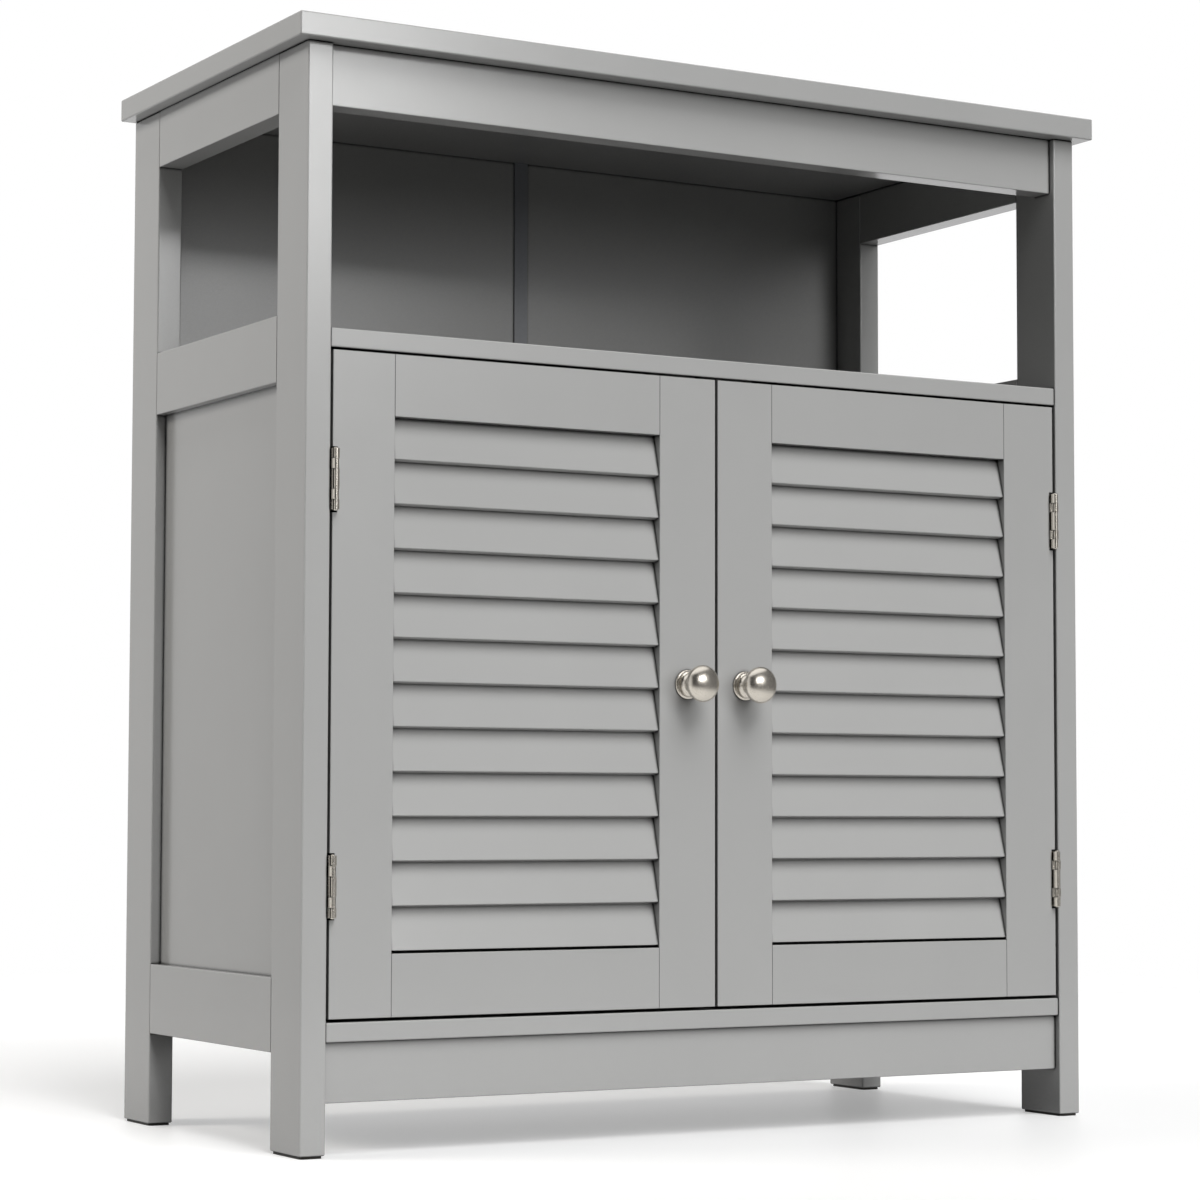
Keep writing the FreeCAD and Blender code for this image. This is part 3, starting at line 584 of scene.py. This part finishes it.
def leaf_blank(node, pin, sheet_x, spans):
    """The flat sheet of a leaf, notched for the other leaf's knuckles, its far corners round."""
    low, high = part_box(node)
    deselect()
    bpy.ops.mesh.primitive_plane_add(
        size=1,
        location=(sheet_x, pin.y + LEAF_WIDTH / 2, (low.z + high.z) / 2),
        rotation=(0, math.pi / 2, 0),
    )
    leaf = bpy.context.object
    leaf.scale = (high.z - low.z, LEAF_WIDTH, 1)
    set_in_place(leaf, "rolled_" + node)
    notch_back = pin.y + BARREL_RADIUS + 2 * KNUCKLE_GAP
    cuts = [(Vector((0, notch_back, 0)), Vector((0, 1, 0)))]
    for start, end in spans:
        cuts += [(Vector((0, 0, z)), Vector((0, 0, 1))) for z in (start, end)]
    edit(leaf)
    for place, normal in cuts:
        bpy.ops.mesh.select_all(action="SELECT")
        bpy.ops.mesh.bisect(plane_co=place, plane_no=normal)
    pick(leaf, "FACE", lambda face, at: at.y < notch_back and not in_spans(at.z, spans))
    bpy.ops.mesh.delete(type="FACE")
    far = pin.y + LEAF_WIDTH - CLOSE_BY
    bottom, top = low.z + CLOSE_BY, high.z - CLOSE_BY
    pick(leaf, "VERT", lambda v, at: at.y > far and not bottom <= at.z <= top)
    bpy.ops.mesh.bevel(offset=LEAF_CORNER, segments=LEAF_CORNER_SEGMENTS, affect="VERTICES")
    leave()
    return leaf


def roll_knuckles(leaf, pin, side, spans):
    """Spins the front edge of each tongue round the pin. Side is 1 for a leaf right of it."""
    near = pin.y + CLOSE_BY
    edit(leaf)
    pick(leaf, "EDGE", lambda edge, at: at.y < near and in_spans(at.z, spans))
    bpy.ops.mesh.spin(
        steps=ROLL_STEPS, angle=-side * ROLL_ANGLE, center=pin, axis=(0, 0, 1)
    )
    bpy.ops.mesh.select_all(action="SELECT")
    bpy.ops.mesh.remove_doubles(threshold=SAME_PLACE)
    bpy.ops.mesh.normals_make_consistent(inside=False)
    leave()


def sink_screw_hole(leaf, place, side):
    """Cuts a countersunk hole through the plate. Its wide end faces away from side."""
    slope = (SCREW_HEAD_RADIUS - SCREW_SHANK_RADIUS) / LEAF_THICKNESS
    widening = slope * LEAF_THICKNESS / 2
    deselect()
    bpy.ops.mesh.primitive_cone_add(
        vertices=SCREW_HOLE_SEGMENTS,
        radius1=SCREW_HEAD_RADIUS + widening,
        radius2=SCREW_SHANK_RADIUS - widening,
        depth=2 * LEAF_THICKNESS,
        location=place,
        rotation=(0, side * math.pi / 2, 0),
    )
    cutter = bpy.context.object
    set_in_place(cutter, "hole_cutter")
    apply_modifier(leaf, "BOOLEAN", object=cutter, operation="DIFFERENCE", solver="EXACT")
    bpy.data.objects.remove(cutter)


def rolled_leaf(node, on_frame):
    """One leaf of a butt hinge: a plate with its front edge rolled round the pin."""
    low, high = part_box(node)
    pin_low, pin_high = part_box("right_hinge_pins")
    pin = Vector(((pin_low.x + pin_high.x) / 2, (pin_low.y + pin_high.y) / 2, 0))
    side = 1 if on_frame else -1
    sheet_x = pin.x + side * (BARREL_RADIUS - LEAF_THICKNESS / 2)
    spans = knuckle_spans(low.z, high.z, on_frame)
    leaf = leaf_blank(node, pin, sheet_x, spans)
    roll_knuckles(leaf, pin, side, spans)
    apply_modifier(leaf, "SOLIDIFY", thickness=LEAF_THICKNESS, offset=0)
    for step in (-1, 1):
        height = (low.z + high.z) / 2 + step * SCREW_SPACING / 2
        place = Vector((sheet_x, pin.y + LEAF_WIDTH - SCREW_EDGE, height))
        sink_screw_hole(leaf, place, side)
    apply_modifier(
        leaf, "BEVEL", width=PRESSED_EDGE, segments=2, limit_method="ANGLE",
        angle_limit=math.radians(50),
    )
    smooth(leaf, degrees=20)
    return leaf


frame_leaf = rolled_leaf("right_upper_hinge_frame_leaf", on_frame=True)
door_leaf = rolled_leaf("right_upper_hinge_door_leaf", on_frame=False)
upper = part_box("right_upper_hinge_frame_leaf")[0].z
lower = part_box("right_lower_hinge_frame_leaf")[0].z
for hand in ("right", "left"):
    for level, drop in (("upper", 0), ("lower", lower - upper)):
        for leaf, kind, body in (
            (frame_leaf, "frame", "cabinet"),
            (door_leaf, "door", hand + "_door"),
        ):
            node = f"{hand}_{level}_hinge_{kind}_leaf"
            piece = leaf
            if node != "right_upper_hinge_" + kind + "_leaf":
                piece = copy_of(leaf, "rolled_" + node, (0, 0, drop), hand == "left")
            finish_piece(piece, "satin_nickel", body, node)


# ---------------------------------------------------------------- lamps

CENTRE = Vector((0, 0, 0.35))     # the middle of the cabinet, at half its height


def direction(azimuth, elevation):
    """From the cabinet towards a light. Azimuth 0 is in front, and grows to the right."""
    turn, rise = math.radians(azimuth), math.radians(elevation)
    return Vector((
        math.sin(turn) * math.cos(rise), -math.cos(turn) * math.cos(rise), math.sin(rise)
    ))


def add_lamp(name, light, azimuth, elevation):
    """Sets up a light that faces the cabinet."""
    lamp = bpy.data.objects.new(name, light)
    bpy.context.scene.collection.objects.link(lamp)
    lamp.rotation_euler = direction(azimuth, elevation).to_track_quat("Z", "Y").to_euler()
    return lamp


def softbox(name, azimuth, elevation, distance, shape, size, radiance, code):
    """A flat lamp at a distance in metres. Radiance 1 looks as bright as white paper."""
    light = bpy.data.lights.new(name, "AREA")
    light.shape = shape
    light.size, light.size_y = size
    area = size[0] * size[1] * (math.pi / 4 if shape == "ELLIPSE" else 1)
    light.energy = radiance * math.pi * area
    light.color = colour(code)[:3]
    lamp = add_lamp(name, light, azimuth, elevation)
    lamp.location = CENTRE + direction(azimuth, elevation) * distance
    return lamp


def far_light(name, azimuth, elevation, spread, radiance):
    """A round light so far off that it reaches every part alike. Spread is its radius in degrees."""
    light = bpy.data.lights.new(name, "SUN")
    light.angle = math.radians(2 * spread)
    light.energy = radiance * math.pi * math.sin(math.radians(spread)) ** 2
    lamp = add_lamp(name, light, azimuth, elevation)
    lamp.visible_glossy = False
    return lamp


far_light("overhead_light", azimuth=0, elevation=55, spread=16, radiance=7.6)
far_light("high_front_light", azimuth=-4, elevation=36, spread=10, radiance=8.0)
far_light("front_light", azimuth=13.5, elevation=12, spread=17, radiance=4.2)
# The far lights have no shape of their own, so the sheen on lacquer and metal is this lamp's.
glare = softbox("front_light_seen", 14, 17, 20, "RECTANGLE", (8.4, 4.9), 8.0, "#FFFFFF")
glare.visible_diffuse = False
softbox("left_softbox", -110, 35, 3.3, "ELLIPSE", (1.28, 1.28), 9.8, "#FFFBF5")


# ---------------------------------------------------------------- room and floor

def room_side(tree, towards, start, end, far, near):
    """How bright one side of the room is: from far to near, as a direction goes from start to end."""
    side = add_node(
        tree,
        "ShaderNodeMapRange",
        {"Value": towards, "From Min": start, "From Max": end, "To Min": far, "To Max": near},
        interpolation_type="SMOOTHSTEP",
    )
    return side.outputs["Result"]


def brightest(tree, first, *others):
    """The brightest of several lights that come from one direction."""
    level = first
    for other in others:
        both = add_node(tree, "ShaderNodeMath", {0: level, 1: other}, operation="MAXIMUM")
        level = both.outputs["Value"]
    return level


def studio_world():
    """White to the eye. The cabinet stands in a room with a low white band behind it. Its
    reflections show more of that room: white all up the back, pale on the left, dim on the right,
    dark in front and bright overhead."""
    world = bpy.data.worlds.new("studio")
    bpy.context.scene.world = world
    world.use_nodes = True
    tree = world.node_tree
    tree.nodes.clear()
    rays = add_node(tree, "ShaderNodeLightPath").outputs
    towards = add_node(tree, "ShaderNodeTexCoord").outputs["Generated"]
    axes = add_node(tree, "ShaderNodeSeparateXYZ", {"Vector": towards}).outputs
    off_level = add_node(tree, "ShaderNodeMath", {0: axes["Z"]}, operation="ABSOLUTE")
    off_horizon = room_side(tree, off_level.outputs["Value"], 0.02, 0.30, 0.0, 1.0)
    below_top = room_side(tree, axes["Z"], 0.40, 0.70, 1.0, 0.0)
    band = add_node(
        tree, "ShaderNodeMath", {0: off_horizon, 1: below_top}, operation="MULTIPLY"
    )
    height = brightest(tree, band.outputs["Value"], rays["Is Glossy Ray"])
    back = room_side(tree, axes["Y"], -0.05, 0.45, 0.0, 1.05)
    behind = add_node(tree, "ShaderNodeMath", {0: back, 1: height}, operation="MULTIPLY")
    above = room_side(tree, axes["Z"], 0.64, 0.78, 0.0, 1.4)
    left = room_side(tree, axes["X"], -0.55, -0.80, 0.0, 0.8)
    right = room_side(tree, axes["X"], 0.20, 0.55, 0.03, 0.2)
    reflected = add_node(
        tree,
        "ShaderNodeMath",
        {0: brightest(tree, above, left, right), 1: rays["Is Glossy Ray"]},
        operation="MULTIPLY",
    )
    level = brightest(tree, behind.outputs["Value"], reflected.outputs["Value"])
    white = colour("#FFFFFF")
    room = add_node(tree, "ShaderNodeBackground", {"Color": white, "Strength": level})
    backdrop = add_node(tree, "ShaderNodeBackground", {"Color": white, "Strength": 1.0})
    seen = brightest(tree, rays["Is Camera Ray"], rays["Is Transmission Ray"])
    whole = add_node(
        tree, "ShaderNodeMixShader", {0: seen, 1: room.outputs[0], 2: backdrop.outputs[0]}
    )
    add_node(tree, "ShaderNodeOutputWorld", {"Surface": whole.outputs[0]})


FLOOR_RADIUS = 3.0
FLOOR_FADE_START = 0.7
FLOOR_FADE_END = 2.2


def floor_paint():
    """Pale painted floor that fades out at its rim. To the eye it is nearly as white as the
    backdrop. The light that it throws back on the cabinet is that of a light grey floor."""
    material, tree = new_material("pale_studio_floor")
    rays = add_node(tree, "ShaderNodeLightPath").outputs
    place = add_node(tree, "ShaderNodeTexCoord").outputs["Object"]
    radius = add_node(tree, "ShaderNodeVectorMath", {0: place}, operation="LENGTH")
    fade = add_node(
        tree,
        "ShaderNodeMapRange",
        {
            "Value": radius.outputs["Value"],
            "From Min": FLOOR_FADE_START,
            "From Max": FLOOR_FADE_END,
        },
        interpolation_type="SMOOTHSTEP",
    )
    shown = add_node(
        tree,
        "ShaderNodeBsdfPrincipled",
        {
            "Base Color": colour("#E4E4E4"),
            "Roughness": 0.45,
            "Specular IOR Level": 0.1,
            "Emission Color": colour("#FFFFFF"),
            "Emission Strength": 0.265,
        },
    )
    hidden = add_node(tree, "ShaderNodeBsdfDiffuse", {"Color": colour("#A2A2A2")})
    seen = brightest(tree, rays["Is Camera Ray"], rays["Is Glossy Ray"])
    surface = add_node(
        tree, "ShaderNodeMixShader", {0: seen, 1: hidden.outputs[0], 2: shown.outputs[0]}
    )
    clear = add_node(tree, "ShaderNodeBsdfTransparent")
    whole = add_node(
        tree,
        "ShaderNodeMixShader",
        {0: fade.outputs["Result"], 1: surface.outputs[0], 2: clear.outputs[0]},
    )
    add_node(tree, "ShaderNodeOutputMaterial", {"Surface": whole.outputs[0]})
    return material


def studio_floor():
    deselect()
    bpy.ops.mesh.primitive_circle_add(vertices=96, radius=FLOOR_RADIUS, fill_type="NGON")
    floor = bpy.context.object
    floor.name = "studio_floor"
    floor.data.materials.append(floor_paint())


studio_world()
studio_floor()


# ---------------------------------------------------------------- camera

CAMERA_PLACE = Vector((-1.1249, -1.9154, 0.2110))
CAMERA_LENS = 96.61
CAMERA_SENSOR = 36
CAMERA_AZIMUTH = math.radians(-30.133)
CAMERA_ELEVATION = math.radians(3.732)
CAMERA_ROLL = math.radians(0.133)


def studio_camera():
    """A long lens at shin height, left of the cabinet, that looks slightly up at it."""
    ahead = Vector((
        -math.sin(CAMERA_AZIMUTH) * math.cos(CAMERA_ELEVATION),
        math.cos(CAMERA_AZIMUTH) * math.cos(CAMERA_ELEVATION),
        math.sin(CAMERA_ELEVATION),
    ))
    level_right = ahead.cross(Vector((0, 0, 1))).normalized()
    level_up = level_right.cross(ahead)
    right = level_right * math.cos(CAMERA_ROLL) + level_up * math.sin(CAMERA_ROLL)
    up = level_up * math.cos(CAMERA_ROLL) - level_right * math.sin(CAMERA_ROLL)
    turn = Matrix((right, up, -ahead)).transposed()
    lens = bpy.data.cameras.new("camera")
    lens.lens = CAMERA_LENS
    lens.sensor_width = CAMERA_SENSOR
    camera = bpy.data.objects.new("camera", lens)
    bpy.context.scene.collection.objects.link(camera)
    camera.matrix_world = Matrix.Translation(CAMERA_PLACE) @ turn.to_4x4()
    return camera


bpy.context.scene.camera = studio_camera()
bpy.context.scene.view_settings.view_transform = "Standard"
